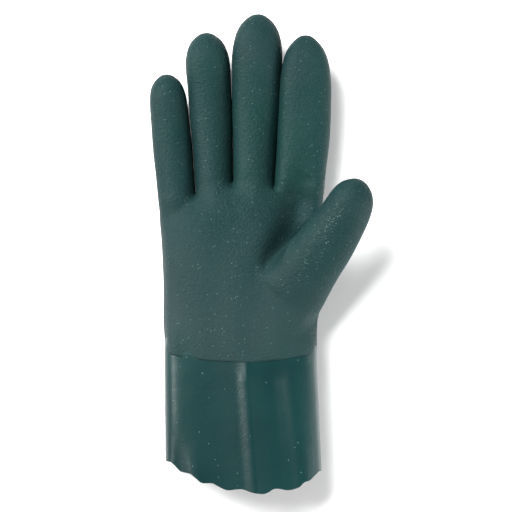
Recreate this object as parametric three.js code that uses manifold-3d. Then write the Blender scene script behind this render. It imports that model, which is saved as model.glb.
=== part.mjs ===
// A PVC coated work glove for the right hand, lying on its back with the palm up.
// +X points to the thumb's side, +Y to the fingertips and +Z up, out of the palm. Lengths are in millimetres.
// The glove is one hollow skin in two coats: a smooth gauntlet cuff, and a hand with a second, gritty coat
// whose edge laps over the top of the cuff. While it is worked out, y = 0 is the middle of that edge, x = 0
// the middle of the wrist and z = 0 the surface that the glove lies on. The last lines move the origin to its
// base.

import * as THREE from "three";
import { mergeVertices } from "three/addons/utils/BufferGeometryUtils.js";
import Module from "manifold-3d";

// Lengths along the hand.
const PALM_LENGTH = 118; // edge of the grip coat to the highest crotch between the fingers
const CUFF_LENGTH = 80; // edge of the grip coat to the hem, in the middle of the front

// The palm and the wrist.
const PALM_WIDTH = 106;
const PALM_DEPTH = 41;
const WRIST_WIDTH = 97;
const WRIST_DEPTH = 43;
const CROTCH_DROP = 9; // how much lower the crotch beside the little finger is than the highest one
const WEB_DEPTH = 11; // skin between two fingers, front to back
const PRESSED_FLAT = 1.4; // how much of the rounded back is pressed flat where the glove lies on it

// The cuff.
const HEM_WIDTH = 100;
const HEM_DEPTH = 44;
const HEM_SHIFT = 2.2; // how far the middle of the hem lies towards the thumb's side
const HEM_BOW = 15; // how much longer the cuff is down its middle than at its sides
const HEM_SKEW = 6; // how much longer it is on the thumb's side than on the other
const COAT_SLANT = 14; // how much further down the grip coat reaches in front than behind
const SCALLOP_PITCH = 21; // from one wave of the cut hem to the next
const SCALLOP_HEIGHT = 2;

// Walls and the lap of the grip coat over the cuff.
const CUFF_WALL = 1.4; // knitted liner with one coat
const GRIP_COAT = 0.7; // the second coat, at its edge
const LAP_GAP = 0.3;
const LAP_LENGTH = 12;
const HAND_WALL = CUFF_WALL + LAP_GAP + GRIP_COAT;

// Resting height of the fingers' middles at their roots.
const KNUCKLE_HEIGHT = 19.5;

// The middle finger, from its crotch line to its tip, and its pad.
const FINGER_LENGTH = 103.5;
const FINGER_WIDTH = 31.6;
const FINGER_DEPTH = 28;

// The fingers from the index to the little finger. length, depth and the widths root and pad are shares of
// the middle finger's, and end is the length of the rounded end as a share of the pad's width. across is the
// root's place as a share of the palm's half width and lean the tilt towards the thumb in degrees. bow and
// lift are how far the middle bows towards the thumb and the tip curls up, as shares of the length.
const FINGERS = [
  {
    length: 0.937, root: 0.985, pad: 1.006, end: 0.98, depth: 1,
    across: 0.707, lean: 2.3, bow: 0.016, lift: 0.1,
  },
  {
    length: 1, root: 0.83, pad: 1, end: 0.8, depth: 1,
    across: 0.162, lean: 1.4, bow: 0, lift: 0.11,
  },
  {
    length: 0.918, root: 0.77, pad: 0.892, end: 0.72, depth: 0.95,
    across: -0.318, lean: -3.3, bow: 0.005, lift: 0.11,
  },
  {
    length: 0.768, root: 0.79, pad: 0.747, end: 0.74, depth: 0.86,
    across: -0.765, lean: -5, bow: 0, lift: 0.12,
  },
];
const ROOT_DEPTH_IN_PALM = 34; // how far a finger's root reaches down inside the palm

// A finger's girth from its root inside the palm to where its end starts to close. at is a share of the way.
const FINGER_GIRTH = [
  { at: 0, width: 0.66, depth: 0.8 },
  { at: 0.18, width: 0.9, depth: 1.04 },
  { at: 0.33, width: 0.96, depth: 1.06 },
  { at: 0.5, width: 0.97, depth: 1.02 },
  { at: 0.68, width: 1, depth: 0.98 },
  { at: 0.86, width: 1, depth: 0.96 },
  { at: 1, width: 1, depth: 0.92 },
];

// The thumb's middle line, from deep in the heel of the palm to its tip. x, y and z are shares of half the
// palm's width, the palm's length and the palm's depth. width and depth are shares of the thumb's width.
const THUMB_WIDTH = 34;
const THUMB_LINE = [
  { x: 0.14, y: 0.02, z: 0.44, width: 0.6, depth: 0.5 },
  { x: 0.32, y: 0.14, z: 0.48, width: 1, depth: 0.86 },
  { x: 0.49, y: 0.26, z: 0.575, width: 1.18, depth: 0.96 },
  { x: 0.66, y: 0.395, z: 0.74, width: 1.17, depth: 0.97 },
  { x: 0.86, y: 0.53, z: 0.93, width: 1.04, depth: 0.92 },
  { x: 1.06, y: 0.655, z: 1.11, width: 0.95, depth: 0.86 },
  { x: 1.245, y: 0.8, z: 1.28, width: 0.86, depth: 0.8 },
  { x: 1.405, y: 0.98, z: 1.46, width: 0.8, depth: 0.74 },
];
const THUMB_END = 0.64; // length of the rounded end, as a share of the thumb's width

// The web of skin between the thumb and the index finger, with the same columns.
const WEB_LINE = [
  { x: 0.4, y: 0.36, z: 0.48, width: 0.74, depth: 0.84 },
  { x: 0.62, y: 0.53, z: 0.56, width: 0.86, depth: 0.94 },
  { x: 0.78, y: 0.68, z: 0.56, width: 0.74, depth: 0.84 },
  { x: 0.84, y: 0.88, z: 0.5, width: 0.5, depth: 0.66 },
];
const WEB_END = 0.3;

// Sections of the palm, from above the coat's edge to the crotches. at is a share of the palm's length, left
// and right are shares of half its width, crown is where its front is highest, and top and bottom are shares
// of its depth. brow says how square its shoulder is on the thumb's side: 2 is round, and less is a slope.
// hollow is how deep the cup of the palm is, as a share of its depth.
const PALM_SECTIONS = [
  { at: 0.24, left: -0.93, right: 0.915, crown: -0.05, top: 1.04, bottom: 0, brow: 2.3, hollow: 0.02 },
  { at: 0.4, left: -0.93, right: 0.94, crown: -0.1, top: 1.03, bottom: 0, brow: 2, hollow: 0.04 },
  { at: 0.56, left: -0.94, right: 0.98, crown: -0.16, top: 1.01, bottom: 0, brow: 1.8, hollow: 0.05 },
  { at: 0.7, left: -0.955, right: 1.0, crown: -0.2, top: 0.97, bottom: 0, brow: 1.8, hollow: 0.03 },
  { at: 0.8, left: -0.97, right: 1.0, crown: -0.15, top: 0.92, bottom: 0.02, brow: 2, hollow: 0.01 },
  { at: 0.88, left: -0.98, right: 1.0, crown: -0.1, top: 0.86, bottom: 0.08, brow: 2.2, hollow: 0 },
  { at: 0.94, left: -0.97, right: 0.98, crown: 0, top: 0.79, bottom: 0.17, brow: 2.4, hollow: 0 },
  { at: 0.98, left: -0.95, right: 0.96, crown: 0, top: 0.7, bottom: 0.27, brow: 2.4, hollow: 0 },
];
const HOLLOW_PLACE = -0.2; // the middle of the cup of the palm, across half its width
const HOLLOW_WIDTH = 0.3;
const SHOULDER = 2.5; // squareness of the other three shoulders of every section
const WIDEST = 0.45; // where a section is widest, as a share of its depth

const FRONT_FADE = 0.6; // where the folds and the cup are full, as a share of the way up from the sides

// Folds of the front, from the palm down through the cuff to its hem. coat and hem are where a fold crosses
// those two edges, as shares of the half width. rise is its height at the hem, and steep and gentle are its
// half widths towards the thumb and away from it. starts and full are shares of the cuff's length.
const FOLDS = [
  { coat: -0.07, hem: 0.15, rise: 3.6, gentle: 16, steep: 5, starts: -0.5, full: 0.5 },
  { coat: 0.24, hem: 0.42, rise: -4.2, gentle: 8, steep: 13, starts: -0.15, full: 0.55 },
  { coat: 0.55, hem: 0.76, rise: 1.8, gentle: 6, steep: 5, starts: -0.4, full: 0.5 },
  { coat: -0.96, hem: -0.74, rise: -1.6, gentle: 4, steep: 5, starts: 0.25, full: 0.8 },
  { coat: -0.8, hem: -0.56, rise: 1.5, gentle: 4, steep: 6, starts: 0.35, full: 0.8 },
];

// Facets.
const PALM_SIDES = 44;
const CUFF_SIDES = 88;
const FINGER_SIDES = 18;
const END_RINGS = 5; // rings in a rounded end
const CUFF_RINGS = 7;

const wasm = await Module();
wasm.setup();

const UP = new THREE.Vector3(0, 0, 1);
const mix = THREE.MathUtils.lerp;
const smooth = THREE.MathUtils.smoothstep;

// The angles of points evenly spaced round an oval as wide and deep as the wrist.
function evenAngles(count) {
  const oval = new THREE.EllipseCurve(0, 0, WRIST_WIDTH / 2, WRIST_DEPTH / 2);
  return Array.from({ length: count }, (_, i) => 2 * Math.PI * oval.getUtoTmapping(i / count));
}

// A closed body through rings that hold equally many points, with its two ends closed by a fan.
function loft(rings) {
  const sides = rings[0].length;
  const points = rings.flat();
  const faces = [];
  for (let r = 0; r + 1 < rings.length; r++)
    for (let i = 0; i < sides; i++) {
      const [a, b] = [r * sides + i, r * sides + ((i + 1) % sides)];
      faces.push(a, b, b + sides, a, b + sides, a + sides);
    }
  const middleOf = (ring) =>
    ring.reduce((sum, p) => sum.add(p), new THREE.Vector3()).divideScalar(sides);
  const [start, end] = [points.length, points.length + 1];
  const lastRing = (rings.length - 1) * sides;
  points.push(middleOf(rings[0]), middleOf(rings.at(-1)));
  for (let i = 0; i < sides; i++) {
    const next = (i + 1) % sides;
    faces.push(start, next, i, end, lastRing + i, lastRing + next);
  }
  return new THREE.BufferGeometry().setFromPoints(points).setIndex(faces);
}

// A tube whose wall lies between two stacks of rings, open at both ends.
function tubeWall(outerRings, innerRings) {
  const sides = outerRings[0].length;
  const rings = [...outerRings, ...innerRings.toReversed()];
  const faces = [];
  for (let r = 0; r < rings.length; r++)
    for (let i = 0; i < sides; i++) {
      const [here, above] = [r * sides, ((r + 1) % rings.length) * sides];
      const next = (i + 1) % sides;
      faces.push(here + i, here + next, above + next, here + i, above + next, above + i);
    }
  return new THREE.BufferGeometry().setFromPoints(rings.flat()).setIndex(faces);
}

// A solid from a closed geometry, turned the right way out.
function solid(geometry) {
  geometry.deleteAttribute("normal");
  geometry.deleteAttribute("uv");
  const merged = mergeVertices(geometry, 1e-4);
  const triVerts = new Uint32Array(merged.index.array);
  const make = () =>
    new wasm.Manifold(
      new wasm.Mesh({ numProp: 3, vertProperties: merged.attributes.position.array, triVerts }),
    );
  const made = make();
  if (made.volume() > 0) return made;
  for (let i = 0; i < triVerts.length; i += 3)
    [triVerts[i + 1], triVerts[i + 2]] = [triVerts[i + 2], triVerts[i + 1]];
  return make();
}

// A mesh from a solid.
function meshOf(name, shape, material) {
  const { vertProperties, triVerts } = shape.getMesh();
  const geometry = new THREE.BufferGeometry()
    .setAttribute("position", new THREE.BufferAttribute(vertProperties, 3))
    .setIndex(new THREE.BufferAttribute(triVerts, 1));
  geometry.computeVertexNormals();
  const mesh = new THREE.Mesh(geometry, material);
  mesh.name = name;
  return mesh;
}

// A flattened oval in four quarters, given its sides, crown, top and bottom. An inset shrinks it evenly, and
// what would reach below the surface lies flat on it.
function ovalPoint(oval, angle, inset) {
  const [across, up] = [Math.cos(angle), Math.sin(angle)];
  const side = mix(oval.bottom, oval.top, WIDEST);
  const halfWidth = (across < 0 ? oval.crown - oval.left : oval.right - oval.crown) - inset;
  const halfDepth = (up < 0 ? side - oval.bottom : oval.top - side) - inset;
  const squareness = across > 0 && up > 0 ? oval.brow : SHOULDER;
  const x = oval.crown + halfWidth * Math.sign(across) * Math.abs(across) ** (2 / squareness);
  const z = side + halfDepth * Math.sign(up) * Math.abs(up) ** (2 / squareness);
  return { x, z: Math.max(z, inset), front: Math.max(0, up) };
}

// The oval of the wrist and cuff at a share of the cuff's length, which is 0 at the coat's edge.
function cuffOval(share) {
  const width = mix(WRIST_WIDTH, HEM_WIDTH, share);
  const middle = mix(0, HEM_SHIFT, share);
  return {
    left: middle - width / 2,
    right: middle + width / 2,
    crown: middle,
    top: mix(WRIST_DEPTH, HEM_DEPTH, share),
    bottom: -PRESSED_FLAT,
    brow: SHOULDER,
  };
}

// How far the folds lift the front of the glove at a point, y being counted from the coat's edge.
function foldRise(x, y) {
  const share = -y / CUFF_LENGTH;
  return FOLDS.reduce((sum, fold) => {
    const line = (mix(fold.coat, fold.hem, share) * WRIST_WIDTH) / 2;
    const half = x > line ? fold.steep : fold.gentle;
    const grown = smooth(share, fold.starts, fold.full);
    return sum + fold.rise * grown * Math.exp(-(((x - line) / half) ** 2));
  }, 0);
}

// The edge of the grip coat, a slanting dip line, against its place in the middle of the front.
const coatEdge = (z) => COAT_SLANT * (1 - z / WRIST_DEPTH);

// The distance round the hem.
const hemGirth = () => Math.PI * Math.sqrt((HEM_WIDTH ** 2 + HEM_DEPTH ** 2) / 2);

// The cut hem: a bow that is longest down the middle, with waves. along is a share of the way round the cuff.
function hemEdge(x, along) {
  const across = (x - HEM_SHIFT) / (HEM_WIDTH / 2);
  const waves = Math.round(hemGirth() / SCALLOP_PITCH);
  const wave = 1 - Math.abs(Math.cos(Math.PI * waves * along));
  const bow = HEM_BOW * across ** 2 - (HEM_SKEW / 2) * across;
  return -CUFF_LENGTH + bow - SCALLOP_HEIGHT * (wave - 0.5);
}

// A ring of the wrist or cuff near a level. yOf gives the place of each of its points along the glove.
function cuffRing(level, angles, inset, yOf) {
  const oval = cuffOval(Math.max(0, -level) / CUFF_LENGTH);
  return angles.map((angle, i) => {
    const { x, z, front } = ovalPoint(oval, angle, inset);
    const y = yOf(x, z, i / angles.length);
    return new THREE.Vector3(x, y, z + smooth(front, 0, FRONT_FADE) * foldRise(x, y));
  });
}

// A ring of the palm at one of its sections. The far rings bend down with the crotches at the little finger.
function palmRing(section, angles, inset) {
  const half = PALM_WIDTH / 2;
  const oval = {
    left: section.left * half,
    right: section.right * half,
    crown: section.crown * half,
    top: section.top * PALM_DEPTH,
    bottom: section.bottom * PALM_DEPTH - PRESSED_FLAT,
    brow: section.brow,
  };
  return angles.map((angle) => {
    const { x, z, front } = ovalPoint(oval, angle, inset);
    const y = section.at * PALM_LENGTH - crotchDrop(x) * section.at ** 4;
    const fromHollow = (x / half - HOLLOW_PLACE) / HOLLOW_WIDTH;
    const hollow = section.hollow * PALM_DEPTH * Math.exp(-(fromHollow ** 2));
    return new THREE.Vector3(x, y, z + smooth(front, 0, FRONT_FADE) * (foldRise(x, y) - hollow));
  });
}

// How much lower than the highest crotch the line of the crotches is at x.
function crotchDrop(x) {
  const highest = 0.1 * (PALM_WIDTH / 2);
  const lowest = -0.6 * (PALM_WIDTH / 2);
  return CROTCH_DROP * ((x - highest) / (lowest - highest)) ** 2;
}

// The palm and wrist as a closed body, shrunk by an inset all round. It runs below past the coat's edge.
function palmBody(inset, below) {
  const angles = evenAngles(PALM_SIDES);
  const heel = PALM_SECTIONS[0].at * PALM_LENGTH;
  const wrist = [-below, heel * 0.4, heel * 0.75].map((level) =>
    cuffRing(0, angles, inset, (x, z) => level + coatEdge(z) * (1 - smooth(level, 0, heel))),
  );
  const middle = (KNUCKLE_HEIGHT + PRESSED_FLAT / 2) / PALM_DEPTH;
  const half = WEB_DEPTH / 2 / PALM_DEPTH;
  const web = { ...PALM_SECTIONS.at(-1), at: 1, top: middle + half, bottom: middle - half };
  const rings = [...PALM_SECTIONS, web].map((section) => {
    const at = section.at - (inset / PALM_LENGTH) * smooth(section.at, 0.6, 1);
    return palmRing({ ...section, at }, angles, Math.min(inset, WEB_DEPTH / 2 - 1));
  });
  return solid(loft([...wrist, ...rings]));
}

// A closed body round a middle line, shrunk by an inset. Each girth is an oval square to the line, at a share
// of the way to where the end starts to close.
function bodyAlong(points, girths, endLength, inset) {
  const tip = points.at(-1);
  tip.addScaledVector(tip.clone().sub(points.at(-2)).normalize(), -inset);
  const line = new THREE.CatmullRomCurve3(points);
  const closing = 1 - (endLength - inset) / line.getLength();
  const shaft = girths.map(({ at, width, depth }) => ({
    at: at * closing,
    width: width - 2 * inset,
    depth: depth - 2 * inset,
  }));
  const pad = shaft.at(-1);
  const end = Array.from({ length: END_RINGS }, (_, i) => {
    const turn = ((i + 1) / (END_RINGS + 0.35)) * (Math.PI / 2);
    return {
      at: mix(closing, 1, Math.sin(turn)),
      width: pad.width * Math.cos(turn),
      depth: pad.depth * Math.cos(turn),
    };
  });
  const rings = [...shaft, ...end].map(({ at, width, depth }) => {
    const middle = line.getPointAt(at);
    const along = line.getTangentAt(at);
    const across = new THREE.Vector3().crossVectors(along, UP).normalize();
    const up = new THREE.Vector3().crossVectors(across, along);
    return Array.from({ length: FINGER_SIDES }, (_, i) => {
      const angle = (2 * Math.PI * i) / FINGER_SIDES;
      return middle
        .clone()
        .addScaledVector(across, (Math.cos(angle) * width) / 2)
        .addScaledVector(up, (Math.sin(angle) * depth) / 2);
    });
  });
  return solid(loft(rings));
}

// A finger as a closed body.
function fingerBody(finger, inset) {
  const x = (finger.across * PALM_WIDTH) / 2;
  const y = PALM_LENGTH - crotchDrop(x);
  const length = finger.length * FINGER_LENGTH;
  const padWidth = finger.pad * FINGER_WIDTH;
  const lean = THREE.MathUtils.degToRad(finger.lean);
  const placeAt = (share, bow, lift) => {
    const along = share * length;
    const aside = bow * finger.bow * length;
    return new THREE.Vector3(
      x + along * Math.sin(lean) + aside,
      y + along * Math.cos(lean),
      KNUCKLE_HEIGHT + lift * finger.lift * length,
    );
  };
  const points = [
    placeAt(-ROOT_DEPTH_IN_PALM / length, 0, 0),
    placeAt(0, 0, 0),
    placeAt(0.33, 0.9, 0.05),
    placeAt(0.66, 0.9, 0.38),
    placeAt(1, 0, 1),
  ];
  const girths = FINGER_GIRTH.map(({ at, width, depth }) => ({
    at,
    width: mix(finger.root * FINGER_WIDTH, padWidth, at ** 2) * width,
    depth: finger.depth * FINGER_DEPTH * depth,
  }));
  return bodyAlong(points, girths, finger.end * padWidth, inset);
}

// A body along the thumb's line or the web's.
function thumbBody(rows, end, inset) {
  const points = rows.map(
    (row) => new THREE.Vector3((row.x * PALM_WIDTH) / 2, row.y * PALM_LENGTH, row.z * PALM_DEPTH),
  );
  const reach = new THREE.CatmullRomCurve3(points).getLengths(rows.length - 1);
  const closing = reach.at(-1) - end * THUMB_WIDTH;
  const girths = rows
    .map((row, i) => ({
      at: reach[i] / closing,
      width: row.width * THUMB_WIDTH,
      depth: row.depth * THUMB_WIDTH,
    }))
    .filter(({ at }) => at < 0.95);
  const pad = rows.at(-1);
  girths.push({ at: 1, width: pad.width * THUMB_WIDTH, depth: pad.depth * THUMB_WIDTH });
  return bodyAlong(points, girths, end * THUMB_WIDTH, inset);
}

// The whole hand as a closed body, shrunk by an inset all round.
function handBody(inset, below) {
  const parts = [
    palmBody(inset, below),
    ...FINGERS.map((finger) => fingerBody(finger, inset)),
    thumbBody(THUMB_LINE, THUMB_END, inset),
    thumbBody(WEB_LINE, WEB_END, inset),
  ];
  return parts.reduce((joined, part) => joined.add(part));
}

// The hand: a skin, open at the wrist, with a step inside its edge for the top of the cuff.
function hand() {
  const angles = evenAngles(CUFF_SIDES);
  const past = 2 * LAP_LENGTH;
  const levels = [-past, 0, LAP_LENGTH + LAP_GAP];
  const step = solid(
    loft(levels.map((level) => cuffRing(0, angles, GRIP_COAT, (x, z) => level + coatEdge(z)))),
  );
  return handBody(0, 0).subtract(handBody(HAND_WALL, past)).subtract(step);
}

// The cuff: a tube from inside the hand's step to the wavy hem.
function cuff() {
  const angles = evenAngles(CUFF_SIDES);
  const below = Array.from({ length: CUFF_RINGS }, (_, i) => -CUFF_LENGTH * (1 - i / (CUFF_RINGS - 1)));
  const ringsAt = (wall) =>
    [...below, LAP_LENGTH].map((level) => {
      const share = Math.max(0, -level / CUFF_LENGTH);
      const yOf = (x, z, along) => mix(coatEdge(z), hemEdge(x, along), share) + Math.max(0, level);
      const sunk = (GRIP_COAT + LAP_GAP) * (1 - smooth(share, 0.02, 0.5));
      return cuffRing(level, angles, sunk + wall, yOf);
    });
  return solid(tubeWall(ringsAt(0), ringsAt(CUFF_WALL)));
}

const gripCoat = new THREE.MeshStandardMaterial({ color: 0x24504a, roughness: 0.75, metalness: 0 });
const smoothCoat = new THREE.MeshStandardMaterial({ color: 0x1b4a44, roughness: 0.4, metalness: 0 });

const glove = new THREE.Group();
glove.add(meshOf("hand", hand(), gripCoat), meshOf("gauntlet_cuff", cuff(), smoothCoat));

// The origin goes to the middle of the glove's base.
const box = new THREE.Box3().setFromObject(glove);
const middle = box.getCenter(new THREE.Vector3());
glove.position.set(-middle.x, -middle.y, -box.min.z);

export default glove;
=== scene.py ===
"""A PVC coated work glove for the right hand, lying on its back with the palm up.

The hand is one smooth skin: a cage of rings from the wrist up through the palm, with a branch for each
finger and the thumb, rounded, folded and then given its wall. The cuff is a tube whose top sits inside the
edge of the hand's gritty coat. Both are shaped in millimetres round the middle of that edge, with the same
axes as the frame, and then put in place.
"""

import math

import bmesh
import bpy
from mathutils import Matrix, Vector


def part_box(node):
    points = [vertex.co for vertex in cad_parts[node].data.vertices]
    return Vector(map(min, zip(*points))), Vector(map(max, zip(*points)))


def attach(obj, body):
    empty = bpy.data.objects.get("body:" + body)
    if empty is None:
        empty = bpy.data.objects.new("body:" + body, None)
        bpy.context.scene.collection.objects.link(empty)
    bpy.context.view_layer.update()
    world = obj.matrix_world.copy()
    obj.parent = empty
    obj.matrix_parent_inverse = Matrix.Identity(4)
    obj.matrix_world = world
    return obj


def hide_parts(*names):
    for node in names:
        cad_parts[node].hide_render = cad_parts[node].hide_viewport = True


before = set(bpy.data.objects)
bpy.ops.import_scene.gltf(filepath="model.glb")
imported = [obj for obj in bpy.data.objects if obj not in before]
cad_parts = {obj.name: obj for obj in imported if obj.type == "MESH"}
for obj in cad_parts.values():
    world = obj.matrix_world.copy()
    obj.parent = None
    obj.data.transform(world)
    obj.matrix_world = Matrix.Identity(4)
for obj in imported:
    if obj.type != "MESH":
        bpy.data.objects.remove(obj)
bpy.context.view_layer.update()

MM = 0.001
HAIR = 0.01  # keeps a place just inside a table's ends
UP = Vector((0, 0, 1))

# Lengths along the hand, in millimetres. y = 0 is the middle of the gritty coat's edge.
PALM_LENGTH = 118  # to the highest crotch between the fingers
CUFF_LENGTH = 80
CROTCH_DROP = 9  # how much lower the crotch beside the little finger is than the highest one
CROTCH_HIGHEST = 0.1  # the highest one's place, as a share of the palm's half width
CROTCH_LOWEST = -0.6  # the place of the one beside the little finger

# The palm and the wrist.
PALM_WIDTH = 106
PALM_DEPTH = 41
WRIST_WIDTH = 97
WRIST_DEPTH = 43
PRESSED_FLAT = 1.4  # how much of the rounded back is pressed flat where the glove lies on it
SOFTNESS_OF_REST = 0.5  # how gently its edge turns up
WIDEST = 0.45  # height of a section's widest place, as a share of its depth

# How square the sections are, where 2 is an oval: all backs, and the cuff's front on its two sides.
SHOULDER = 4
LEFT_SHOULDER = 6
RIGHT_SHOULDER = 3.6

# The cuff and its hem.
HEM_WIDTH = 100
HEM_DEPTH = 44
HEM_SHIFT = 2.2  # how far its middle lies towards the thumb's side
HEM_BOW = 15  # how much longer the cuff is down its middle than at its sides
HEM_SKEW = 6  # how much longer it is on the thumb's side than on the other
SCALLOP_PITCH = 21
SCALLOP_HEIGHT = 2
HEM_TURN = (0.05, 0.5)  # how far up the sides the hem goes over from its back's line to its front's

# The gritty coat's edge: its height on the front's middle, how much further down it reaches in front than
# behind, and how much higher it is at the front's sides than in its middle.
COAT_LIFT = 2
COAT_SLANT = 10
COAT_BOW = 5.4

# Walls, and the lap of the gritty coat over the cuff.
CUFF_WALL = 1.4
HAND_WALL = 2.4
GRIP_COAT = 0.2  # the hand's wall at its edge
LAP_GAP = 0.03
LAP_LENGTH = 12
LAP_SINK = 1  # how much narrower the cuff is where the lap ends
LAP_FADE = 2  # over what length the hand's wall then grows to its full thickness
FRONT_FADE = 0.6  # how far up a place faces where the front's folds are full, 0 at a side and 1 on top

# Places of the columns of the palm, as shares of its half width: its edges, and in turn the middle of a
# finger and the web beside it. FIRST_FINGER is the little finger's place among them.
SIDE_COLUMN = 0.93
COLUMNS = (-1, -SIDE_COLUMN, -0.765, -0.53, -0.318, -0.07, 0.162, 0.43, 0.707, SIDE_COLUMN, 1)
FIRST_FINGER = 2

# Rings of the palm. at is a share of its length, left and right are shares of half its width, crown is where
# its front is highest, and top and bottom are shares of its depth. flank and brow are how square its front is
# on the little finger's and the thumb's side. hollow is how deep the cup of the palm is, as a share of its
# depth. room is how far the front makes way for the thumb, in millimetres, and fingers is how much of the
# fingers' own roundness shows.
PALM_RINGS = [
    dict(
        at=0.0, left=-0.915, right=0.915, crown=0, top=1.05, bottom=0,
        flank=5.5, brow=3.6, hollow=0, room=0, fingers=0,
    ),
    dict(
        at=0.11, left=-0.92, right=0.915, crown=0, top=1.05, bottom=0,
        flank=5, brow=3.2, hollow=0.01, room=0, fingers=0,
    ),
    dict(
        at=0.24, left=-0.93, right=0.925, crown=-0.05, top=1.04, bottom=0,
        flank=3.5, brow=2.8, hollow=0.02, room=3, fingers=0,
    ),
    dict(
        at=0.4, left=-0.93, right=0.94, crown=-0.1, top=1.03, bottom=0,
        flank=3, brow=2, hollow=0.04, room=8, fingers=0,
    ),
    dict(
        at=0.56, left=-0.94, right=0.98, crown=-0.16, top=1.01, bottom=0,
        flank=3, brow=2.1, hollow=0.05, room=11, fingers=0,
    ),
    dict(
        at=0.7, left=-0.955, right=1, crown=-0.2, top=0.97, bottom=0,
        flank=2.8, brow=2.4, hollow=0.03, room=4, fingers=0,
    ),
    dict(
        at=0.8, left=-0.97, right=1, crown=-0.15, top=0.93, bottom=0.02,
        flank=2.6, brow=2.6, hollow=0.01, room=0, fingers=0.05,
    ),
    dict(
        at=0.88, left=-0.98, right=1, crown=-0.1, top=0.89, bottom=0.07,
        flank=2.5, brow=2.6, hollow=0, room=0, fingers=0.25,
    ),
    dict(
        at=0.94, left=-0.98, right=0.99, crown=0, top=0.87, bottom=0.12,
        flank=2.5, brow=2.4, hollow=0, room=0, fingers=0.6,
    ),
]
HOLLOW_PLACE = -0.2  # where the cup of the palm is deepest, as a share of its half width
HOLLOW_WIDTH = 0.3
ROOM_COLUMNS = (-0.2, 0.43)  # between these columns the front makes more and more way for the thumb
PALM_FOLDS_END = 0.75  # share of the palm's length from which its folds fade out

# The middle finger, and the fingers from the little finger to the index. length, depth and the widths root
# and pad are shares of the middle finger's, and end is the length of the rounded end as a share of the pad's
# width. across is the root's place as a share of the palm's half width and lean the tilt towards the thumb in
# degrees. bow and lift are how far the middle bows towards the thumb and the tip curls up, as shares of the
# length. squareness is that of the front, away from the thumb and towards it.
KNUCKLE_HEIGHT = 19.5
FINGER_LENGTH = 103.5
FINGER_WIDTH = 31.6
FINGER_DEPTH = 28
ROOT_DEPTH = 34  # how far a finger's line starts below its crotches
FINGERS = [
    dict(
        length=0.768, root=0.79, pad=0.747, end=0.74, depth=0.86,
        across=-0.765, lean=-5, bow=0, lift=0.12, squareness=(2.2, 1.85),
    ),
    dict(
        length=0.918, root=0.77, pad=0.892, end=0.72, depth=0.95,
        across=-0.318, lean=-3.3, bow=0.005, lift=0.11, squareness=(2.4, 1.8),
    ),
    dict(
        length=1, root=0.865, pad=1.01, end=0.8, depth=1,
        across=0.162, lean=1.4, bow=0, lift=0.11, squareness=(2.6, 1.75),
    ),
    dict(
        length=0.937, root=1.035, pad=1.03, end=0.96, depth=1,
        across=0.7, lean=2.3, bow=0.016, lift=0.1, squareness=(2.9, 2.9),
    ),
]

# A finger's line, with shares of its length, bow and lift.
FINGER_LINE = [
    dict(share=0, bow=0, lift=0),
    dict(share=0.33, bow=0.9, lift=0.05),
    dict(share=0.66, bow=0.9, lift=0.38),
    dict(share=1, bow=0, lift=1),
]

# A finger's girth from its root inside the palm to where its end starts to close. at is a share of the way.
FINGER_GIRTH = [
    dict(at=0, width=0.66, depth=0.8),
    dict(at=0.18, width=0.9, depth=1.04),
    dict(at=0.33, width=0.97, depth=1.06),
    dict(at=0.5, width=0.99, depth=1.02),
    dict(at=0.68, width=1.03, depth=0.98),
    dict(at=0.86, width=1.02, depth=0.96),
    dict(at=1, width=1, depth=0.92),
]
FINGER_RINGS = (0.05, 0.13, 0.24, 0.38, 0.54, 0.7, 0.85, 1)  # shares of the way from crotch to end
END_TURNS = (28, 52, 74)  # rings of a rounded end, in degrees from its rim to its tip
WEB_VALLEY = 5  # how much lower the skin between two fingers is than they are

# The thumb's middle line and girth. x, y and z are shares of the palm's half width, length and depth, and
# width and depth are shares of THUMB_WIDTH, as THUMB_END is, the length of its rounded end.
THUMB_WIDTH = 34
THUMB_END = 0.64
THUMB_SQUARENESS = (2, 2)
THUMB_LINE = [
    dict(x=0.14, y=0.02, z=0.44, width=0.6, depth=0.5),
    dict(x=0.32, y=0.14, z=0.48, width=1, depth=0.86),
    dict(x=0.49, y=0.26, z=0.575, width=1.18, depth=0.96),
    dict(x=0.637, y=0.403, z=0.74, width=1.26, depth=0.88),
    dict(x=0.832, y=0.539, z=0.93, width=1.145, depth=0.88),
    dict(x=1.032, y=0.664, z=1.11, width=1.055, depth=0.86),
    dict(x=1.234, y=0.804, z=1.28, width=0.9, depth=0.8),
    dict(x=1.405, y=0.98, z=1.46, width=0.8, depth=0.74),
]

# Its root on the palm, in millimetres, from the outer side over the front to the web and back along the side.
# clear is where the thumb stands clear of the palm there, as a share of its line.
THUMB_ROOT = [
    dict(x=47, y=28, z=27, clear=0.36),
    dict(x=38, y=28, z=39, clear=0.38),
    dict(x=25, y=43, z=42.3, clear=0.4),
    dict(x=15.5, y=58.5, z=40.2, clear=0.45),
    dict(x=29, y=76, z=32.5, clear=0.53),
    dict(x=40.5, y=86.5, z=26.5, clear=0.6),
    dict(x=49.5, y=90, z=21, clear=0.66),
    dict(x=52, y=68, z=17, clear=0.62),
    dict(x=51, y=49, z=17, clear=0.52),
    dict(x=49.5, y=31, z=17.5, clear=0.43),
]
THUMB_TURN = 15  # where the first of its points stands, from the outer side towards the front
THUMB_RINGS = 6
THUMB_HOLE = (2, 5)  # the rings of the palm that its root starts and ends on
MOUND_LENGTHS = (0.2, 0.6)  # shares of the palm's length between which its top may lift the palm's front
MOUND_STEPS = 30

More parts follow.
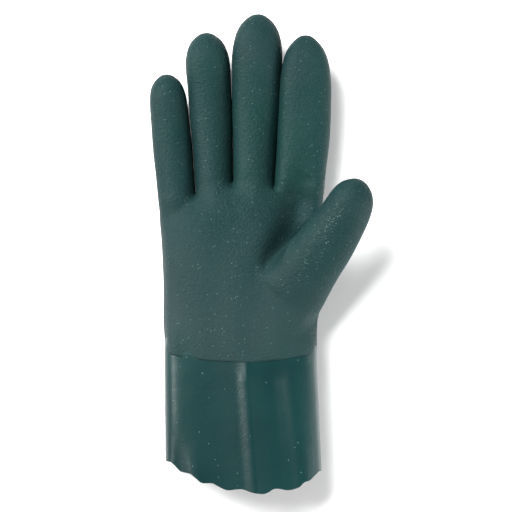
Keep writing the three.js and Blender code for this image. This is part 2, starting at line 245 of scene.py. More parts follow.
# The long folds down the cuff's front: heights across it, and where they cross the coat's edge and the hem.
LONG_FOLD = [
    dict(coat=-46, hem=-44, height=0),
    dict(coat=-9.8, hem=-3.6, height=0),
    dict(coat=-5.8, hem=0.4, height=0.1),
    dict(coat=-3.8, hem=2.4, height=0.3),
    dict(coat=-1.8, hem=4.4, height=0.95),
    dict(coat=0.2, hem=6.4, height=1.95),
    dict(coat=2.2, hem=8.4, height=2.85),
    dict(coat=3.8, hem=10, height=3.15),
    dict(coat=6.2, hem=12.4, height=2.2),
    dict(coat=9.2, hem=15.4, height=0.9),
    dict(coat=12.2, hem=18.4, height=-0.5),
    dict(coat=16.2, hem=22.4, height=-2.2),
    dict(coat=20.2, hem=27.4, height=-3.3),
    dict(coat=23.4, hem=32, height=-2.9),
    dict(coat=25.6, hem=34.4, height=-2),
    dict(coat=28.6, hem=37.4, height=-0.45),
    dict(coat=31.6, hem=40.2, height=0.3),
    dict(coat=35, hem=42.8, height=0.3),
    dict(coat=40.2, hem=45.4, height=0),
    dict(coat=49.2, hem=49.8, height=0),
]
LONG_FOLD_STARTS = -0.12  # shares of the cuff's length, from the coat's edge down
LONG_FOLD_FULL = 0.12

# The cut edge of the front, from the little finger's side to the thumb's.
HEM_FRONT = [
    dict(x=-47.7, y=-60.9),
    dict(x=-44.3, y=-60.9),
    dict(x=-41.1, y=-63.2),
    dict(x=-37.6, y=-66.7),
    dict(x=-31.4, y=-68),
    dict(x=-28, y=-70.7),
    dict(x=-24.2, y=-73.6),
    dict(x=-17.3, y=-74),
    dict(x=-12.9, y=-76.4),
    dict(x=-8.3, y=-78.2),
    dict(x=-2.2, y=-77.6),
    dict(x=1.5, y=-77.6),
    dict(x=6.5, y=-79.3),
    dict(x=14.7, y=-80.5),
    dict(x=18.5, y=-79.1),
    dict(x=20.6, y=-77.7),
    dict(x=24.1, y=-77.6),
    dict(x=29.1, y=-78.5),
    dict(x=33.5, y=-78),
    dict(x=37.3, y=-76.4),
    dict(x=40.4, y=-73.5),
    dict(x=43.6, y=-72.6),
    dict(x=46.7, y=-70.1),
    dict(x=50.7, y=-67),
]

# Smaller folds. coat and hem are where a fold crosses those edges, as shares of the half width. gentle and
# steep are how wide it is on the little finger's and the thumb's side, in millimetres. It starts and is full
# at these shares of the cuff's length, from the coat's edge down.
FOLDS = [
    dict(coat=-0.06, hem=0.06, rise=1.3, gentle=10, steep=7, starts=-1.1, full=-0.2),
    dict(coat=0.5, hem=0.6, rise=1.2, gentle=8, steep=7, starts=-0.85, full=-0.2),
    dict(coat=-0.96, hem=-0.74, rise=-1.4, gentle=4, steep=5, starts=0.4, full=0.95),
    dict(coat=-0.8, hem=-0.56, rise=1.4, gentle=5, steep=6, starts=0.5, full=0.95),
]

# The valley between the palm and the thumb, along its line, and how far it reaches to both sides. Where the
# skin is higher than VALLEY_BRIM and further past the line towards the thumb than VALLEY_LIP, it fades out,
# so that the thumb keeps its own top.
THUMB_VALLEY = [
    dict(x=10, y=53, drop=0),
    dict(x=18.5, y=63, drop=2),
    dict(x=26, y=73, drop=4),
    dict(x=31, y=83, drop=6),
    dict(x=35, y=94, drop=7.5),
    dict(x=38, y=105, drop=7),
    dict(x=40, y=115, drop=4.5),
    dict(x=42, y=125, drop=2),
    dict(x=44, y=136, drop=0),
]
VALLEY_TO_PALM = 10
VALLEY_TO_THUMB = 9
VALLEY_BRIM = (36, 42)
VALLEY_LIP = (-4, 2)

# Fineness, and the angles at which faces meet in an edge that shows: none on the hand, the hem on the cuff.
SKIN_LEVELS = 3
FITTING_ROUNDS = 8
CUFF_SIDES = 220
CUFF_STEP = 2
HAND_EDGE = 180
CUFF_EDGE = 40

# Colours of the PVC and its grains.
DARK_GREEN = (0.003, 0.017, 0.018, 1)
GREY_GREEN = (0.0085, 0.022, 0.023, 1)
PALE_GRAIN = (0.012, 0.031, 0.031, 1)
BRIGHT_GRAIN = (0.1, 0.16, 0.155, 1)
MOSS_GREEN = (0.002, 0.026, 0.021, 1)
# The grey of the painted sheen on the palm towards the wrist.
SHEEN_GREY_GREEN = (0.017, 0.031, 0.032, 1)
DEEP_GREEN = (0.002, 0.016, 0.017, 1)
CUFF_GREEN = (0.003, 0.022, 0.022, 1)
FLOOR_GREY = (0.86, 0.86, 0.86, 1)
FLOOR_WHITE = (0.88, 0.88, 0.88, 1)

# Where along the frame's Y, in metres, the palm starts to be painted greyer, a painted sheen towards the
# wrist, and where it is in full, and how much of that colour it then has.
LOW_DOWN = (0.02, -0.04)
LOW_SHARE = 0.5

# The long spot along the thumb's lit ridge where the grains are painted pale as glints, a painted highlight:
# its middle in the frame, half its length, width and depth, its turn from the X axis, and the share of the
# way in where it is full.
GLINT_PLACE = (38, 6, 58)
GLINT_LENGTH = 42
GLINT_WIDTH = 7
GLINT_DEPTH = 26
GLINT_TURN = 63
GLINT_FULL = 0.45

SPECK_CORE = 0.4  # the share of a speck that has its full colour

# The lights, in metres and watts. glints says whether the glove mirrors a light, and lights whether it is lit
# by it.
LIGHTS = [
    dict(name="key", place=(-0.7, 0.75, 1.42), size=0.9, power=93, glints=False, lights=True),
    dict(name="ceiling", place=(-0.4, 0.7, 1.5), size=0.9, power=19, glints=True, lights=False),
    dict(name="sheen", place=(-1.35, 0.3, 1.2), size=0.6, power=46, glints=True, lights=False),
    dict(name="left", place=(-1.4, 0.3, 0.3), size=0.6, power=5, glints=True, lights=True),
    dict(name="right", place=(1.2, -1.0, 0.28), size=0.6, power=54, glints=False, lights=True),
    dict(name="glow", place=(1.3, -0.6, 0.16), size=0.6, power=22, glints=True, lights=False),
]
ROOM_LIGHT = 0.28
FLOOR_REACH = 3

# The camera, straight above the glove. Its focal length is in pixels of a picture PIXELS wide, and the rest
# is in millimetres.
CAMERA_OVER = (-2.33, -2.02)
CAMERA_HEIGHT = 1520
PIXELS = 512
FOCAL_PIXELS = 2355.9
SENSOR = 36


def mix(a, b, share):
    return a + (b - a) * share


def smooth(value, low, high):
    share = min(1, max(0, (value - low) / (high - low)))
    return share * share * (3 - 2 * share)


def squashed(share, squareness):
    """Height of a flattened oval's quarter over its side, both as shares."""
    return max(0, 1 - abs(share) ** squareness) ** (1 / squareness)


def oval_reach(across, up, squareness):
    """How far a squared circle reaches in a direction, where 2 is a round one."""
    return (abs(across) ** squareness + abs(up) ** squareness) ** (-1 / squareness)


def cuff_reach(across, up):
    """How far the cuff's section reaches in a direction, as a share of its half width and height."""
    if up < 0:
        return oval_reach(across, up, SHOULDER)
    return oval_reach(across, up, RIGHT_SHOULDER if across > 0 else LEFT_SHOULDER)


def rested(z):
    """A height with what reaches below the surface pressed flat on it, softly."""
    return (z + math.hypot(z, SOFTNESS_OF_REST)) / 2


def crotch_drop(x):
    highest = CROTCH_HIGHEST * PALM_WIDTH / 2
    lowest = CROTCH_LOWEST * PALM_WIDTH / 2
    return CROTCH_DROP * ((x - highest) / (lowest - highest)) ** 2


def coat_edge(x, z):
    """Where the gritty coat ends at a place round the wrist."""
    high = z / WRIST_DEPTH
    return COAT_LIFT + COAT_SLANT * (1 - high) + COAT_BOW * high * (2 * x / WRIST_WIDTH) ** 2


def profile(x, marks, heights):
    """Height at x of a smooth profile through marks."""
    if not marks[0] < x < marks[-1]:
        return 0
    i = next(i for i, mark in enumerate(marks) if mark > x) - 1
    ends = [heights[0], *heights, heights[-1]]
    a, b, c, d = ends[i : i + 4]
    t = (x - marks[i]) / (marks[i + 1] - marks[i])
    bend, twist = 2 * a - 5 * b + 4 * c - d, 3 * b - a - 3 * c + d
    return b + ((c - a) * t + bend * t**2 + twist * t**3) / 2


def valley_drop(x, y, z):
    """How deep the valley beside the thumb is at a place of the front."""
    deepest = 0
    for low, high in zip(THUMB_VALLEY, THUMB_VALLEY[1:]):
        start = Vector((low["x"], low["y"]))
        run = Vector((high["x"], high["y"])) - start
        here = Vector((x, y)) - start
        share = min(1, max(0, here.dot(run) / run.length_squared))
        aside = here.cross(run) / run.length
        away = (here - run * share).length / (VALLEY_TO_THUMB if aside > 0 else VALLEY_TO_PALM)
        drop = mix(low["drop"], high["drop"], share) * math.exp(-(away**2))
        on_top = smooth(z, *VALLEY_BRIM) * smooth(aside, *VALLEY_LIP)
        deepest = max(deepest, drop * (1 - on_top))
    return deepest


def fold_rise(x, y):
    """How high the folds down the cuff are at a place of the front."""
    share = -y / CUFF_LENGTH
    marks = [mix(row["coat"], row["hem"], share) for row in LONG_FOLD]
    rise = profile(x, marks, [row["height"] for row in LONG_FOLD])
    rise *= smooth(share, LONG_FOLD_STARTS, LONG_FOLD_FULL)
    for fold in FOLDS:
        line = mix(fold["coat"], fold["hem"], share) * WRIST_WIDTH / 2
        half = fold["steep"] if x > line else fold["gentle"]
        height = fold["rise"] * smooth(share, fold["starts"], fold["full"])
        rise += height * math.exp(-(((x - line) / half) ** 2))
    return rise


def palm_point(ring, column, front):
    """The point of a palm ring at a column, on its front or its back."""
    half = PALM_WIDTH / 2
    crown = ring["crown"] * half
    top = ring["top"] * PALM_DEPTH
    bottom = ring["bottom"] * PALM_DEPTH - PRESSED_FLAT
    side = mix(bottom, top, WIDEST)
    x = mix(ring["left"], ring["right"], (column + 1) / 2) * half
    if front and column <= ROOM_COLUMNS[1]:
        x -= ring["room"] * smooth(column, *ROOM_COLUMNS)
    reach = ring["right"] * half - crown if x > crown else crown - ring["left"] * half
    squareness = ring["brow" if x > crown else "flank"] if front else SHOULDER
    depth = top - side if front else bottom - side
    z = side + depth * squashed((x - crown) / reach, squareness)
    y = ring["at"] * PALM_LENGTH - crotch_drop(x) * ring["at"] ** 4
    y += coat_edge(x, z) * (1 - smooth(ring["at"], 0, PALM_RINGS[2]["at"]))
    return Vector((x, y, z))


def line_at(points, distance):
    """The place and the heading at a distance along a smooth line through points."""
    ends = [2 * points[0] - points[1], *points, 2 * points[-1] - points[-2]]
    for i in range(1, len(points)):
        step = (points[i] - points[i - 1]).length
        if distance <= step or i == len(points) - 1:
            break
        distance -= step
    a, b, c, d = ends[i - 1 : i + 3]
    t = distance / step
    bend, twist = 2 * a - 5 * b + 4 * c - d, 3 * b - a - 3 * c + d
    place = b + ((c - a) * t + bend * t**2 + twist * t**3) / 2
    heading = c - a + 2 * bend * t + 3 * twist * t**2
    return place, heading.normalized()


def column_at(rows, name, at):
    """A column of a table read between its rows."""
    for low, high in zip(rows, rows[1:]):
        if at <= high["at"]:
            break
    share = (at - low["at"]) / (high["at"] - low["at"])
    return mix(low[name], high[name], min(1, max(0, share)))


class Limb:
    """A finger or the thumb: a middle line with a girth, and a rounded end.

    squareness is that of its front, away from the thumb's side and towards it.
    """

    def __init__(self, points, girths, end, squareness):
        self.points = points
        self.length = sum((b - a).length for a, b in zip(points, points[1:]))
        self.closing = self.length - end
        self.girths = girths
        self.squareness = squareness

    def skin(self, distance, degrees):
        """The skin's point at a distance along the line, turned from the thumb's side over the front."""
        middle, heading = line_at(self.points, min(distance, self.length))
        across = heading.cross(UP).normalized()
        up = across.cross(heading)
        at = min(1, distance / self.closing)
        past = max(0, distance - self.closing) / (self.length - self.closing)
        closed = math.sqrt(max(0, 1 - past**2))
        turn = math.radians(degrees)
        aside, high = math.cos(turn), math.sin(turn)
        squareness = self.squareness[1 if aside > 0 else 0] if high > 0 else 2
        reach = oval_reach(aside, high, squareness) * closed / 2
        wide = aside * column_at(self.girths, "width", at) * reach
        deep = high * column_at(self.girths, "depth", at) * reach
        return middle + across * wide + up * deep

    def end_distance(self, degrees):
        """The distance along the line of a ring of the rounded end."""
        return mix(self.closing, self.length, math.sin(math.radians(degrees)))


def finger_limb(finger):
    x = finger["across"] * PALM_WIDTH / 2
    y = PALM_LENGTH - crotch_drop(x)
    length = finger["length"] * FINGER_LENGTH
    pad = finger["pad"] * FINGER_WIDTH
    lean = math.radians(finger["lean"])

    def place(share, bow=0, lift=0):
        along = share * length
        aside = bow * finger["bow"] * length
        height = KNUCKLE_HEIGHT + lift * finger["lift"] * length
        return Vector((x + along * math.sin(lean) + aside, y + along * math.cos(lean), height))

    points = [place(-ROOT_DEPTH / length)] + [place(**row) for row in FINGER_LINE]
    girths = [
        dict(
            at=row["at"],
            width=mix(finger["root"] * FINGER_WIDTH, pad, row["at"] ** 2) * row["width"],
            depth=finger["depth"] * FINGER_DEPTH * row["depth"],
        )
        for row in FINGER_GIRTH
    ]
    return Limb(points, girths, finger["end"] * pad, finger["squareness"])


def thumb_limb():
    points = [
        Vector((row["x"] * PALM_WIDTH / 2, row["y"] * PALM_LENGTH, row["z"] * PALM_DEPTH))
        for row in THUMB_LINE
    ]
    steps = [(b - a).length for a, b in zip(points, points[1:])]
    end = THUMB_END * THUMB_WIDTH
    girths = [
        dict(
            at=sum(steps[:i]) / (sum(steps) - end),
            width=row["width"] * THUMB_WIDTH,
            depth=row["depth"] * THUMB_WIDTH,
        )
        for i, row in enumerate(THUMB_LINE)
    ]
    return Limb(points, girths, end, THUMB_SQUARENESS)


def thumb_mound(x, y, thumb):
    """Height of the thumb's own top at a place of the palm, or nothing beside it."""
    best = 0
    for step in range(MOUND_STEPS):
        distance = thumb.closing * step / MOUND_STEPS
        middle, _ = line_at(thumb.points, distance)
        away = Vector((x - middle.x, y - middle.y)).length
        half = column_at(thumb.girths, "width", distance / thumb.closing) / 2
        depth = column_at(thumb.girths, "depth", distance / thumb.closing) / 2
        if away < half:
            best = max(best, middle.z + depth * math.sqrt(1 - (away / half) ** 2))
    return best


def extend(bm, ring, places):
    """Extrude a closed ring of vertices to a ring of new places."""
    edges = [bm.edges.get((a, b)) for a, b in zip(ring, ring[1:] + ring[:1])]
    made = bmesh.ops.extrude_edge_only(bm, edges=edges)["geom"]
    fresh = {part for part in made if isinstance(part, bmesh.types.BMVert)}
    following = []
    for old, place in zip(ring, places):
        new = next(edge.other_vert(old) for edge in old.link_edges if edge.other_vert(old) in fresh)
        new.co = place
        following.append(new)
    return following


def close_end(bm, ring, tip):
    """Close a ring with a fan round the tip."""
    cap = bm.faces.new(ring)
    middle = bmesh.ops.poke(bm, faces=[cap])["verts"][0]
    middle.co = tip


def grow_limb(bm, root, limb, turns, starts, shares):
    """Grow a finger or the thumb from its root's ring.

    turns and starts are each point's turn round the line and where it stands clear of the palm, and shares
    are the rings' places between there and the rounded end.
    """
    ring = root
    for share in shares:
        places = []
        for start, turn in zip(starts, turns):
            places.append(limb.skin(mix(start, limb.closing, share), turn))
        ring = extend(bm, ring, places)
    for turn in END_TURNS:
        distance = limb.end_distance(turn)
        ring = extend(bm, ring, [limb.skin(distance, degrees) for degrees in turns])
    close_end(bm, ring, limb.skin(limb.length, 0))


def finger_column(i):
    """The column of the palm under a finger's middle. The next one is under the web on the thumb's side."""
    return FIRST_FINGER + 2 * i


def finger_row(fingers, count, distance, web_valley=0):
    """The fingers' skins side by side at a distance along them, as a ring of the palm with count points.

    Points of the back are counted from the ring's end.
    """
    places = [None] * count
    last = len(COLUMNS) - 1
    for i, finger in enumerate(fingers):
        middle = finger_column(i)
        places[middle] = finger.skin(distance, 90)
        places[-middle] = finger.skin(distance, -90)
    for i, (left, right) in enumerate(zip(fingers, fingers[1:])):
        web = finger_column(i) + 1
        low = distance - web_valley
        places[web] = (left.skin(low, 45) + right.skin(low, 135)) / 2
        places[-web] = (left.skin(low, -45) + right.skin(low, -135)) / 2
    for column, turn in ((0, 180), (1, 135), (-1, 225)):
        places[column] = fingers[0].skin(distance, turn)
    for column, turn in ((last, 0), (last - 1, 45), (last + 1, -45)):
        places[column] = fingers[-1].skin(distance, turn)
    return places


def ring_places(ring, around, fingers, thumb):
    """The points of a ring of the palm, round its front and back."""
    places = [palm_point(ring, column, front) for column, front in around]
    for place, (column, front) in zip(places, around):
        if front and MOUND_LENGTHS[0] < ring["at"] < MOUND_LENGTHS[1] and 0 < column < 1:
            place.z = max(place.z, thumb_mound(place.x, place.y, thumb))
    if ring["fingers"]:
        below = (1 - ring["at"]) * PALM_LENGTH
        row = finger_row(fingers, len(around), ROOT_DEPTH - below)
        places = [place.lerp(finger, ring["fingers"]) for place, finger in zip(places, row)]
    return places


def grow_fingers(bm, ring, fingers, around):
    """Close the palm's last ring into the roots of the fingers, with a web between two, and grow them."""
    last = len(COLUMNS) - 1
    top = extend(bm, ring, finger_row(fingers, len(around), ROOT_DEPTH, WEB_VALLEY))
    webs = []
    for i, (left, right) in enumerate(zip(fingers, fingers[1:])):
        web = finger_column(i) + 1
        saddle = bmesh.ops.extrude_vert_indiv(bm, verts=[top[web]])["verts"][0]
        saddle.co = (left.skin(ROOT_DEPTH, 0) + right.skin(ROOT_DEPTH, 180)) / 2
        bm.edges.new((saddle, top[-web]))
        webs.append(saddle)
    for i, finger in enumerate(fingers):
        middle = finger_column(i)
        outer = webs[i] if i < len(webs) else top[last]
        inner = webs[i - 1] if i > 0 else top[0]
        root = [outer, top[middle + 1], top[middle], top[middle - 1], inner]
        root += [top[1 - middle] if i > 0 else top[-1], top[-middle], top[-middle - 1]]
        grow_limb(bm, root, finger, range(0, 360, 45), [ROOT_DEPTH] * len(root), FINGER_RINGS)


def grow_thumb(bm, rings, thumb):
    """Open a hole in the front and side of the palm and grow the thumb from it."""
    side = len(COLUMNS) - 1
    edge = side - 1
    front = side - 2
    low, high = THUMB_HOLE
    root = [rings[low][edge]]
    root += [rings[i][front] for i in range(low, high + 1)]
    root += [rings[high][edge]]
    root += [rings[i][side] for i in range(high, low - 1, -1)]
    inside = [rings[i][edge] for i in range(low + 1, high)]
    bmesh.ops.delete(bm, geom=inside, context="VERTS")
    for vert, row in zip(root, THUMB_ROOT):
        vert.co = (row["x"], row["y"], row["z"])
    turns = [THUMB_TURN + 360 * i / len(root) for i in range(len(root))]
    starts = [row["clear"] * thumb.length for row in THUMB_ROOT]
    grow_limb(bm, root, thumb, turns, starts, [i / (THUMB_RINGS - 1) for i in range(THUMB_RINGS)])


def hand_cage():
    """The cage of the hand's skin, open at the wrist."""
    around = [(column, True) for column in COLUMNS]
    around += [(column, False) for column in COLUMNS[-2:0:-1]]
    thumb = thumb_limb()
    fingers = [finger_limb(finger) for finger in FINGERS]
    bm = bmesh.new()
    ring = bmesh.ops.create_circle(bm, segments=len(around), radius=1)["verts"]
    for vert, place in zip(ring, ring_places(PALM_RINGS[0], around, fingers, thumb)):
        vert.co = place
    rings = [list(ring)]
    for row in PALM_RINGS[1:]:
        rings.append(extend(bm, rings[-1], ring_places(row, around, fingers, thumb)))
    grow_fingers(bm, rings[-1], fingers, around)
    grow_thumb(bm, rings, thumb)
    bmesh.ops.recalc_face_normals(bm, faces=bm.faces)
    return bm


def new_piece(name, bm):
    mesh = bpy.data.meshes.new(name)
    bm.to_mesh(mesh)
    bm.free()
    piece = bpy.data.objects.new(name, mesh)
    bpy.context.collection.objects.link(piece)
    return piece


def evaluated(piece):
    """A piece as its modifiers leave it."""
    return piece.evaluated_get(bpy.context.evaluated_depsgraph_get())


def settle(piece):
    """Make a piece's modifiers part of its mesh."""
    mesh = bpy.data.meshes.new_from_object(evaluated(piece))
    piece.modifiers.clear()
    piece.data = mesh


def round_off(piece):
    """Round a cage into a smooth skin that passes through the cage's places."""
    places = [vertex.co.copy() for vertex in piece.data.vertices]
    rounding = piece.modifiers.new("rounding", "SUBSURF")
    rounding.levels = rounding.render_levels = 1
    for _ in range(FITTING_ROUNDS):
        skin = evaluated(piece).data.vertices
        for i, place in enumerate(places):
            piece.data.vertices[i].co += place - skin[i].co
        piece.data.update()
    rounding.levels = rounding.render_levels = SKIN_LEVELS
    settle(piece)


def give_wall(piece, wall, thin=None):
    """Give a skin its wall on the inside. thin is a group of vertices with shares of the wall."""
    thickness = piece.modifiers.new("wall", "SOLIDIFY")
    thickness.thickness = wall
    thickness.offset = -1
    if thin:
        thickness.vertex_group = thin.name
    settle(piece)


def put_in_place(piece):
    """Move a piece from its own millimetres to the frame."""
    cuff_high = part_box("gauntlet_cuff")[1]
    hand_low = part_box("hand")[0]
    wrist_x = cuff_high[0] - (HEM_SHIFT + HEM_WIDTH / 2) * MM
    shift = Matrix.Translation((wrist_x, hand_low[1], 0))
    piece.data.transform(shift @ Matrix.Scale(MM, 4))


def finish_faces(piece, material, sharp):
    """Give a piece its material and smooth faces, except where they meet at more than sharp degrees."""
    piece.data.shade_smooth()
    piece.data.set_sharp_from_angle(angle=math.radians(sharp))
    piece.data.materials.clear()
    piece.data.materials.append(material)


def hollow_drop(x, y):
    """How deep the cup of the palm is at a place of the front."""
    at = y / PALM_LENGTH
    depth = column_at(PALM_RINGS, "hollow", at) * PALM_DEPTH
    return depth * math.exp(-(((2 * x / PALM_WIDTH - HOLLOW_PLACE) / HOLLOW_WIDTH) ** 2))


def make_hand(material):
    piece = new_piece("hand_skin", hand_cage())
    round_off(piece)
    lap = piece.vertex_groups.new(name="lap")
    facing = [normal.vector.z for normal in piece.data.vertex_normals]
    for vertex in piece.data.vertices:
        x, y, z = vertex.co
        front = smooth(facing[vertex.index], 0, FRONT_FADE)
        past_edge = y - coat_edge(x, z)
        full = smooth(past_edge, LAP_LENGTH, LAP_LENGTH + LAP_FADE)
        lap.add([vertex.index], mix(GRIP_COAT / HAND_WALL, 1, full), "REPLACE")
        palm = 1 - smooth(y, PALM_FOLDS_END * PALM_LENGTH, PALM_LENGTH)
        if y < PALM_LENGTH:
            vertex.co.z += front * palm * (fold_rise(x, y) - hollow_drop(x, y))
        vertex.co.z -= front * valley_drop(x, y, z)
        vertex.co.z = rested(vertex.co.z)
    give_wall(piece, HAND_WALL, lap)
    piece.vertex_groups.clear()
    put_in_place(piece)
    finish_faces(piece, material, HAND_EDGE)
    return piece


def cuff_point(degrees, y):
    """The cuff's outer skin at a turn round it and a level, and how much the turn is to the front."""
    share = max(0, -y) / CUFF_LENGTH
    turn = math.radians(degrees)
    across, up = math.cos(turn), math.sin(turn)
    reach = cuff_reach(across, up)
    edge = coat_edge(across * reach * WRIST_WIDTH / 2, WRIST_DEPTH * (up + 1) / 2)
    inset = GRIP_COAT + LAP_GAP + LAP_SINK * smooth(y - edge, 0, LAP_LENGTH)
    middle = HEM_SHIFT * share
    half = mix(WRIST_WIDTH, HEM_WIDTH, share) / 2 - inset
    top = mix(WRIST_DEPTH, HEM_DEPTH, share)
    side = mix(-PRESSED_FLAT, top, WIDEST)
    deep = (top - side if up > 0 else side + PRESSED_FLAT) - inset
    x = middle + half * across * reach
    z = side + deep * up * reach
    return x, max(z, inset), max(0, up)


def hem_edge(x, along, front):
    """Where the hem is cut, at a place across the cuff and a share of the way round it."""
    across = (x - HEM_SHIFT) / (HEM_WIDTH / 2)
    girth = math.pi * math.sqrt((HEM_WIDTH**2 + HEM_DEPTH**2) / 2)
    waves = round(girth / SCALLOP_PITCH)
    wave = 1 - abs(math.cos(math.pi * waves * along))
    back = -CUFF_LENGTH + HEM_BOW * across**2 - HEM_SKEW / 2 * across
    back -= SCALLOP_HEIGHT * (wave - 0.5)
    marks = [row["x"] for row in HEM_FRONT]
    inside = min(marks[-1] - HAIR, max(marks[0] + HAIR, x))
    cut = profile(inside, marks, [row["y"] for row in HEM_FRONT])
    return mix(back, cut, smooth(front, *HEM_TURN))


def even_turns(count):
    """Turns evenly spaced round a section as wide and deep as the wrist."""
    fine = 3600
    points = []
    for i in range(fine + 1):
        across, up = math.cos(math.tau * i / fine), math.sin(math.tau * i / fine)
        points.append(Vector((across * WRIST_WIDTH, up * WRIST_DEPTH)) * cuff_reach(across, up))
    reach = [0]
    for a, b in zip(points, points[1:]):
        reach.append(reach[-1] + (b - a).length)
    turns = []
    i = 0
    for step in range(count):
        while reach[i] < reach[-1] * step / count:
            i += 1
        turns.append(360 * i / fine)
    return turns


def make_cuff(material):
    bm = bmesh.new()
    turns = even_turns(CUFF_SIDES)
    ring = list(bmesh.ops.create_circle(bm, segments=CUFF_SIDES, radius=1)["verts"])
    rows = round((CUFF_LENGTH + LAP_LENGTH) / CUFF_STEP)

    def places(row):
        found = []
        for i, degrees in enumerate(turns):
            x, z, _ = cuff_point(degrees, 0)
            top = LAP_LENGTH + coat_edge(x, z)
            x, _, front = cuff_point(degrees, -CUFF_LENGTH)
            y = mix(hem_edge(x, i / CUFF_SIDES, front), top, row / rows)
            x, z, front = cuff_point(degrees, y)
            found.append(Vector((x, y, z + smooth(front, 0, FRONT_FADE) * fold_rise(x, y))))
        return found

    for vert, place in zip(ring, places(0)):
        vert.co = place
    for row in range(1, rows + 1):
        ring = extend(bm, ring, places(row))
    bmesh.ops.recalc_face_normals(bm, faces=bm.faces)
    piece = new_piece("cuff_tube", bm)
    give_wall(piece, CUFF_WALL)
    put_in_place(piece)
    finish_faces(piece, material, CUFF_EDGE)
    return piece


def add_node(material, kind, inputs=None, **settings):
    """Add a node. inputs hold numbers, colours or other nodes' outputs by the names of its sockets."""
    node = material.node_tree.nodes.new(kind)
    for name, value in settings.items():
        setattr(node, name, value)
    for name, value in (inputs or {}).items():
        if isinstance(value, bpy.types.NodeSocket):
            material.node_tree.links.new(value, node.inputs[name])
        else:
            node.inputs[name].default_value = value
    return node


def new_material(name):
    material = bpy.data.materials.new(name)
    material.use_nodes = True
    material.node_tree.nodes.clear()
    return material


def finish_material(material, **inputs):
    """End a material with its shader."""
    named = {name.replace("_", " "): value for name, value in inputs.items()}
    shader = add_node(material, "ShaderNodeBsdfPrincipled", named)
    add_node(material, "ShaderNodeOutputMaterial", {"Surface": shader.outputs["BSDF"]})
    return material


def product(material, first, second):
    """Two patterns multiplied."""
    node = add_node(material, "ShaderNodeMath", {0: first, 1: second}, operation="MULTIPLY")
    return node.outputs["Value"]


def noise(material, place, scale, detail, low=0.3, high=0.7):
    """A cloudy pattern with scale clouds to a metre, 0 where the noise is under low and 1 over high."""
    settings = {"Vector": place, "Scale": scale, "Detail": detail}
    cloud = add_node(material, "ShaderNodeTexNoise", settings).outputs["Fac"]
    spread = {"Value": cloud, "From Min": low, "From Max": high}
    return add_node(material, "ShaderNodeMapRange", spread).outputs["Result"]


def blend(material, share, first, second):
    """A colour between two, by a pattern."""
    node = add_node(material, "ShaderNodeMix", data_type="RGBA")
    for socket, value in ((node.inputs[0], share), (node.inputs[6], first), (node.inputs[7], second)):
        if isinstance(value, bpy.types.NodeSocket):
            material.node_tree.links.new(value, socket)
        else:
            socket.default_value = value
    return node.outputs[2]


def painted_glint_spot(material, place):
    """A long soft spot of painted glints along the thumb's ridge, 1 in its middle and 0 outside it."""
    laid = {
        "Vector": place,
        "Location": Vector(GLINT_PLACE) * MM,
        "Rotation": (0, 0, math.radians(GLINT_TURN)),
        "Scale": Vector((GLINT_LENGTH, GLINT_WIDTH, GLINT_DEPTH)) * MM,
    }
    laid = add_node(material, "ShaderNodeMapping", laid, vector_type="TEXTURE").outputs["Vector"]
    spot = add_node(material, "ShaderNodeTexGradient", {"Vector": laid}, gradient_type="SPHERICAL")
    fading = {"Value": spot.outputs["Fac"], "From Max": GLINT_FULL}
    return add_node(material, "ShaderNodeMapRange", fading).outputs["Result"]


def specks(material, place, scale, size, share):
    """Small round specks in cells, scale to a metre. share is the part of the cells that hold one."""
    cells = add_node(material, "ShaderNodeTexVoronoi", {"Vector": place, "Scale": scale})
    near = {"Value": cells.outputs["Distance"], "From Min": size, "From Max": size * SPECK_CORE}
    dot = add_node(material, "ShaderNodeMapRange", near).outputs["Result"]
    pick = add_node(material, "ShaderNodeSeparateColor", {"Color": cells.outputs["Color"]}).outputs["Red"]
    chosen = add_node(material, "ShaderNodeMath", {0: pick, 1: share}, operation="LESS_THAN")
    return product(material, dot, chosen.outputs["Value"])


def bump(material, height, depth, under=None):
    """A relief of a pattern, depth metres deep, over the one under it."""
    inputs = {"Height": height, "Distance": depth, "Strength": 1}
    if under:
        inputs["Normal"] = under
    return add_node(material, "ShaderNodeBump", inputs).outputs["Normal"]


def sheen_low_down(material, place):
    """The share of a grey painted sheen: 0 on the fingers and the upper palm, and LOW_SHARE down at the
    wrist.
    """
    along = add_node(material, "ShaderNodeSeparateXYZ", {"Vector": place}).outputs["Y"]
    fading = {"Value": along, "From Min": LOW_DOWN[0], "From Max": LOW_DOWN[1], "To Max": LOW_SHARE}
    return add_node(material, "ShaderNodeMapRange", fading).outputs["Result"]


def grip_material():
    """Gritty PVC: matt, mottled green, with a fine grain, a few bright grains, grains painted bright as
    glints along the thumb's ridge, and a grey painted sheen towards the wrist.
    """
    material = new_material("gritty_green_pvc")
    place = add_node(material, "ShaderNodeTexCoord").outputs["Object"]
    clouds = noise(material, place, scale=30, detail=3)
    colour = blend(material, clouds, DARK_GREEN, GREY_GREEN)
    moss = noise(material, place, scale=16, detail=2, low=0.5, high=0.85)
    colour = blend(material, moss, colour, MOSS_GREEN)
    # The palm painted greyer towards the wrist: a painted sheen.
    colour = blend(material, sheen_low_down(material, place), colour, SHEEN_GREY_GREEN)
    pale = noise(material, place, scale=1100, detail=1, low=0.4, high=0.8)
    colour = blend(material, pale, colour, PALE_GRAIN)
    bright = specks(material, place, scale=850, size=0.27, share=0.04)
    colour = blend(material, bright, colour, BRIGHT_GRAIN)
    patches = noise(material, place, scale=120, detail=2, low=0.35, high=0.6)
    # Grains painted bright along the thumb's ridge: painted glints of its highlight.
    patches = product(material, painted_glint_spot(material, place), patches)
    glinting_grains = product(material, specks(material, place, scale=1000, size=0.36, share=0.45), patches)
    colour = blend(material, glinting_grains, colour, BRIGHT_GRAIN)
    relief = bump(material, noise(material, place, scale=130, detail=2), depth=0.00006)
    relief = bump(material, noise(material, place, scale=700, detail=2), depth=0.00022, under=relief)
    return finish_material(
        material, Base_Color=colour, Roughness=0.55, Specular_IOR_Level=0.09, Normal=relief
    )


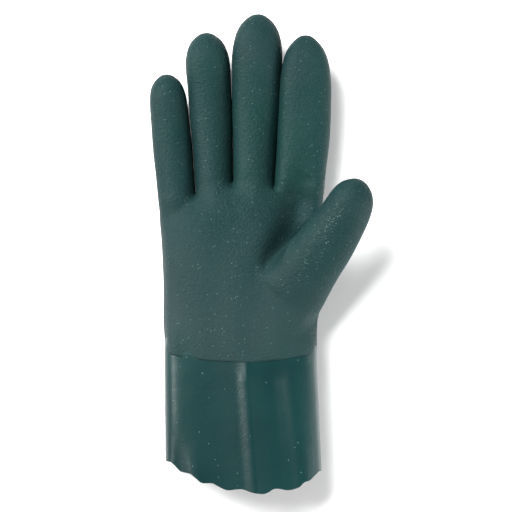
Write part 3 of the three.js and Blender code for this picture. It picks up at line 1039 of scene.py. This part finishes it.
def cuff_material():
    """The first coat: smooth and semi-gloss, with a slight wave and a few grains."""
    material = new_material("smooth_green_pvc")
    place = add_node(material, "ShaderNodeTexCoord").outputs["Object"]
    clouds = noise(material, place, scale=25, detail=2)
    colour = blend(material, clouds, DEEP_GREEN, CUFF_GREEN)
    bright = specks(material, place, scale=500, size=0.2, share=0.04)
    colour = blend(material, bright, colour, BRIGHT_GRAIN)
    relief = bump(material, noise(material, place, scale=90, detail=3), depth=0.00008)
    relief = bump(material, noise(material, place, scale=900, detail=2), depth=0.00003, under=relief)
    return finish_material(
        material, Base_Color=colour, Roughness=0.32, Specular_IOR_Level=0.25, Normal=relief
    )


def floor_material():
    material = new_material("pale_floor")
    place = add_node(material, "ShaderNodeTexCoord").outputs["Object"]
    clouds = noise(material, place, scale=3, detail=2)
    colour = blend(material, clouds, FLOOR_GREY, FLOOR_WHITE)
    return finish_material(material, Base_Color=colour, Roughness=0.9)


def make_floor():
    bm = bmesh.new()
    bmesh.ops.create_grid(bm, x_segments=1, y_segments=1, size=FLOOR_REACH)
    floor = new_piece("floor", bm)
    floor.data.materials.append(floor_material())


def make_camera():
    camera = bpy.data.cameras.new("camera")
    camera.sensor_width = SENSOR
    camera.lens = FOCAL_PIXELS * SENSOR / PIXELS
    eye = bpy.data.objects.new("camera", camera)
    eye.location = Vector((*CAMERA_OVER, CAMERA_HEIGHT)) * MM
    bpy.context.collection.objects.link(eye)
    bpy.context.scene.camera = eye


def make_light(name, place, size, power, glints, lights):
    """A square light that faces the middle of the glove's base."""
    light = bpy.data.lights.new(name, "AREA")
    light.size = size
    light.energy = power
    lamp = bpy.data.objects.new(name, light)
    lamp.location = place
    lamp.visible_glossy = glints
    lamp.visible_diffuse = lights
    lamp.rotation_euler = (-Vector(place)).to_track_quat("-Z", "Y").to_euler()
    bpy.context.collection.objects.link(lamp)


def make_lights():
    world = bpy.data.worlds.new("room")
    world.use_nodes = True
    background = world.node_tree.nodes["Background"]
    background.inputs["Color"].default_value = (1, 1, 1, 1)
    background.inputs["Strength"].default_value = ROOM_LIGHT
    bpy.context.scene.world = world
    bpy.context.scene.view_settings.view_transform = "Standard"
    for light in LIGHTS:
        make_light(**light)


hand = make_hand(grip_material())
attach(hand, "root")
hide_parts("hand")

cuff = make_cuff(cuff_material())
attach(cuff, "root")
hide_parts("gauntlet_cuff")

make_floor()
make_lights()
make_camera()
